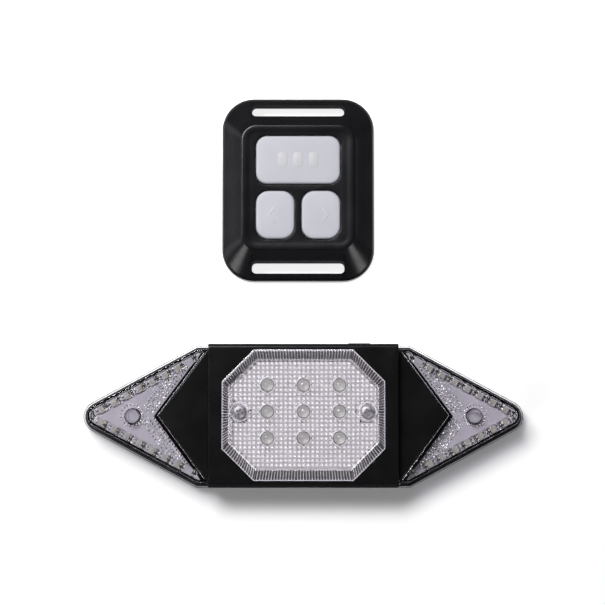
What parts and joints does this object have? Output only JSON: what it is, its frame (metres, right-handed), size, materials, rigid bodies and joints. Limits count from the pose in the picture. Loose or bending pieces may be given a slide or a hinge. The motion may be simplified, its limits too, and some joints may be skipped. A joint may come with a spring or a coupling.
{
  "type": "bicycle turn signal light",
  "caption": "Bicycle tail lamp with a raised octagonal brake lens between two clear arrow-shaped turn signal wings, with a strap-on wireless remote that has press buttons.",
  "frame": {"origin": "centre of the lamp's back face, midway between its two mounting inserts", "axes": "+X to the lamp's right along its length, +Y to its top edge and on to the remote, +Z the way the lamp shines; lamp and remote lie on their backs on z = 0"},
  "size_m": [0.158, 0.1407, 0.0185],
  "materials": {
    "black_shell": "moulded ABS, fine satin grain",
    "remote_shell": "moulded ABS, semi-gloss with a fine grain",
    "clear_lens": "clear moulded polycarbonate with prisms on its inner face",
    "bright_reflector": "metallised white plastic",
    "led_epoxy": "clear cast epoxy",
    "flat_led": "white LED body with yellow phosphor",
    "white_board": "white solder mask",
    "green_board": "green solder mask",
    "chip_black": "moulded chip package",
    "cell_foil": "pouch foil",
    "cell_steel": "plated cell can",
    "screw_steel": "zinc plated",
    "insert_brass": "turned",
    "seal_rubber": "moulded silicone rubber",
    "lead_rubber": "flat two-core lead",
    "key_grey": "moulded soft-touch key"
  },
  "bodies": {
    "lamp": {"lamp_back_cover": "black_shell", "cover_gasket": "seal_rubber", "lamp_housing": "black_shell", "lens_gasket": "seal_rubber", "center_lens": "clear_lens", "center_reflector": "bright_reflector", "control_board": "green_board", "brake_leds": "led_epoxy", "lens_screws": "screw_steel", "radio_receiver": "chip_black", "lamp_battery": "cell_foil", "left_wing_lens": "clear_lens", "right_wing_lens": "clear_lens", "left_wing_reflector": "bright_reflector", "right_wing_reflector": "bright_reflector", "left_wing_board": "white_board", "right_wing_board": "white_board", "left_turn_leds": "flat_led", "right_turn_leds": "flat_led", "left_wing_lead": "lead_rubber", "right_wing_lead": "lead_rubber", "wing_screws": "screw_steel", "cover_screws": "screw_steel", "mount_inserts": "insert_brass", "charging_port": "screw_steel", "power_switch": "screw_steel"},
    "power_key": {"power_button": "seal_rubber"},
    "port_plug": {"charging_plug": "seal_rubber"},
    "remote": {"remote_housing": "remote_shell", "remote_back": "remote_shell", "keypad_mat": "seal_rubber", "remote_board": "green_board", "tact_switches": "screw_steel", "radio_transmitter": "chip_black", "coin_cell": "cell_steel", "cell_contacts": "insert_brass", "remote_screws": "screw_steel"},
    "mode_key": {"mode_button": "key_grey"},
    "left_key": {"left_button": "key_grey"},
    "right_key": {"right_button": "key_grey"},
    "cell_cap": {"battery_cap": "remote_shell", "cap_seal": "seal_rubber"}
  },
  "joints": [
    {"name": "remote_lift", "type": "slide", "parent": "lamp", "child": "remote", "axis": [0, 0, 1], "range_m": [0, 0.06]},
    {"name": "power_press", "type": "slide", "parent": "lamp", "child": "power_key", "axis": [0, -1, 0], "range_m": [0, 0.0007], "stiffness_N_per_m": 1500, "springref_m": -0.0005},
    {"name": "plug_pull", "type": "slide", "parent": "lamp", "child": "port_plug", "axis": [0, -1, 0], "range_m": [0, 0.008]},
    {"name": "mode_press", "type": "slide", "parent": "remote", "child": "mode_key", "axis": [0, 0, -1], "range_m": [0, 0.0006], "stiffness_N_per_m": 2000, "springref_m": -0.0004, "deforming": ["keypad_mat"]},
    {"name": "left_press", "type": "slide", "parent": "remote", "child": "left_key", "axis": [0, 0, -1], "range_m": [0, 0.0006], "stiffness_N_per_m": 2000, "springref_m": -0.0004, "deforming": ["keypad_mat"]},
    {"name": "right_press", "type": "slide", "parent": "remote", "child": "right_key", "axis": [0, 0, -1], "range_m": [0, 0.0006], "stiffness_N_per_m": 2000, "springref_m": -0.0004, "deforming": ["keypad_mat"]},
    {"name": "cap_twist", "type": "hinge", "parent": "remote", "child": "cell_cap", "pos_m": [-0.0019, 0.082, 0], "axis": [0, 0, -1], "range_deg": [0, 40]}
  ]
}
